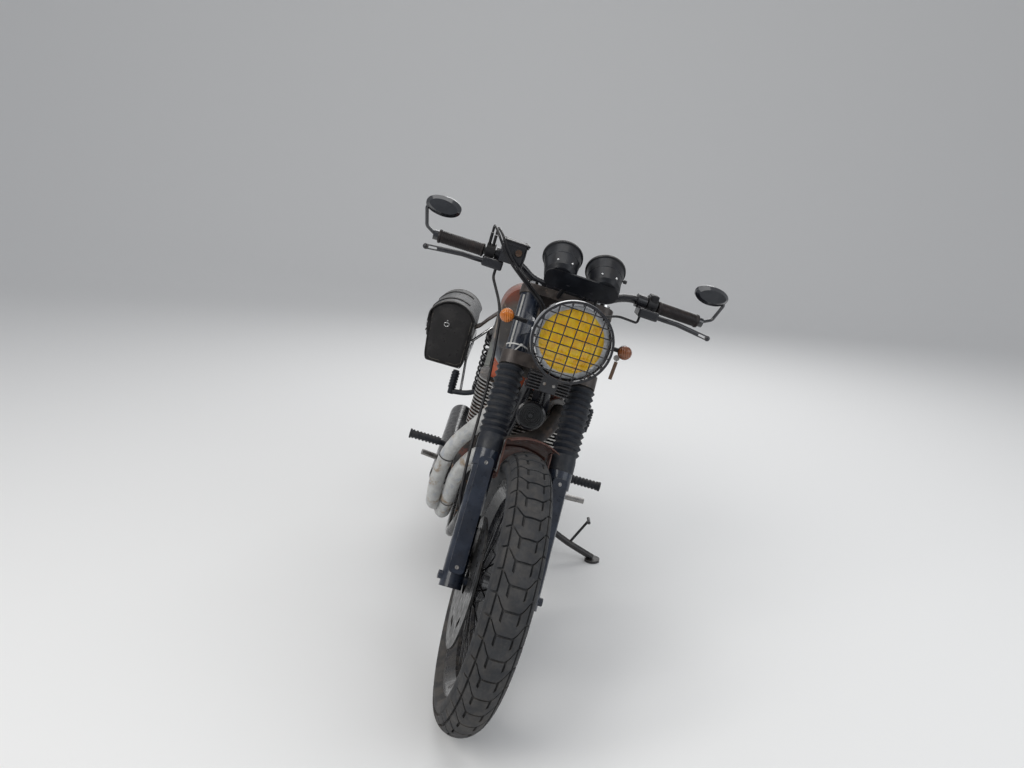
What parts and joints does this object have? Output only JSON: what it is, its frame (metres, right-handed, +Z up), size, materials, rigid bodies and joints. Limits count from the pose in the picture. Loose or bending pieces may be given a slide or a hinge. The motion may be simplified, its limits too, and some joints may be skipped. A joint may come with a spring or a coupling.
{
  "type": "motorcycle",
  "caption": "Scrambler-style custom motorcycle parked on its side stand, with wide bars, a caged headlamp, an open engine, wrapped exhaust pipes and one leather pannier.",
  "frame": {"origin": "middle of the bounding box on the ground", "axes": "+Z up, -Y towards the front wheel, +X towards the machine's left side, on which it leans"},
  "size_m": [0.906, 2.1499, 1.2085],
  "materials": {
    "amber_lens": "gloss",
    "bag_leather": "grained",
    "black_enamel": "satin",
    "black_plastic": "matte",
    "blue_black_paint": "satin",
    "bright_chrome": "polished",
    "cast_aluminium": "brushed",
    "cover_orange": "satin",
    "engine_black": "satin",
    "fender_brown": "satin",
    "panel_grey": "satin",
    "red_lens": "gloss",
    "rubber_black": "matte",
    "seat_leather": "grained",
    "steel": "brushed",
    "tank_patina": "worn satin",
    "tyre_rubber": "matte",
    "wrap_cloth": "woven",
    "yellow_glass": "clear"
  },
  "bodies": {
    "chassis": {"barrel": "engine_black", "cam_cover": "cover_orange", "carburettors": "cast_aluminium", "crankcase": "engine_black", "cylinder_head": "engine_black", "drive_chain": "steel", "foot_levers": "steel", "footrests": "rubber_black", "frame_cradle": "black_enamel", "frame_spine": "black_enamel", "fuel_cap": "bright_chrome", "fuel_tank": "tank_patina", "header_pipes": "wrap_cloth", "horn": "black_enamel", "pannier_bag": "bag_leather", "pannier_rack": "bright_chrome", "pannier_yoke": "seat_leather", "rear_axle": "steel", "rear_fender": "black_enamel", "seat": "seat_leather", "shocks": "black_enamel", "side_panels": "panel_grey", "silencer": "black_enamel", "subframe": "black_enamel", "swingarm": "black_enamel", "tail_lamp": "red_lens"},
    "steering": {"bar_mirrors": "black_plastic", "brake_caliper": "cast_aluminium", "brake_lever": "black_enamel", "clutch_lever": "black_enamel", "control_cables": "rubber_black", "fork_gaiters": "rubber_black", "fork_sliders": "blue_black_paint", "fork_tubes": "bright_chrome", "front_fender": "fender_brown", "front_indicators": "amber_lens", "gauges": "blue_black_paint", "grips": "rubber_black", "handlebar": "black_enamel", "headlamp_bowl": "blue_black_paint", "headlamp_grille": "black_enamel", "headlamp_lens": "yellow_glass", "headlamp_rim": "bright_chrome", "lamp_ears": "blue_black_paint", "regulator": "black_enamel", "switchgear": "black_plastic", "yokes": "black_enamel"},
    "front_wheel": {"front_disc": "steel", "front_rim": "black_enamel", "front_tyre": "tyre_rubber"},
    "rear_wheel": {"rear_drive": "steel", "rear_rim": "black_enamel", "rear_tyre": "tyre_rubber"},
    "pannier_lid": {"pannier_lid": "bag_leather"},
    "side_stand": {"side_stand": "black_enamel"}
  },
  "joints": [
    {"name": "steering_turn", "type": "hinge", "parent": "chassis", "child": "steering", "pos_m": [-0.07811, -0.55099, 0.5533], "axis": [0.199, 0.4654, 0.8625], "range_deg": [-36, 26]},
    {"name": "front_wheel_spin", "type": "hinge", "parent": "steering", "child": "front_wheel", "pos_m": [-0.12616, -0.74482, 0.32113], "axis": [0.9615, 0.0774, -0.2636], "continuous": true},
    {"name": "rear_wheel_spin", "type": "hinge", "parent": "chassis", "child": "rear_wheel", "pos_m": [-0.13383, 0.75498, 0.31349], "axis": [0.9744, 0.0003, -0.225], "continuous": true},
    {"name": "pannier_lid_hinge", "type": "hinge", "parent": "chassis", "child": "pannier_lid", "pos_m": [-0.26917, 0.55946, 0.75657], "axis": [0, 1, 0.0012], "range_deg": [0, 80]},
    {"name": "side_stand_fold", "type": "hinge", "parent": "chassis", "child": "side_stand", "pos_m": [-0.01534, 0.15018, 0.14585], "axis": [0.5428, 0.0764, 0.8364], "range_deg": [0, 92]}
  ]
}
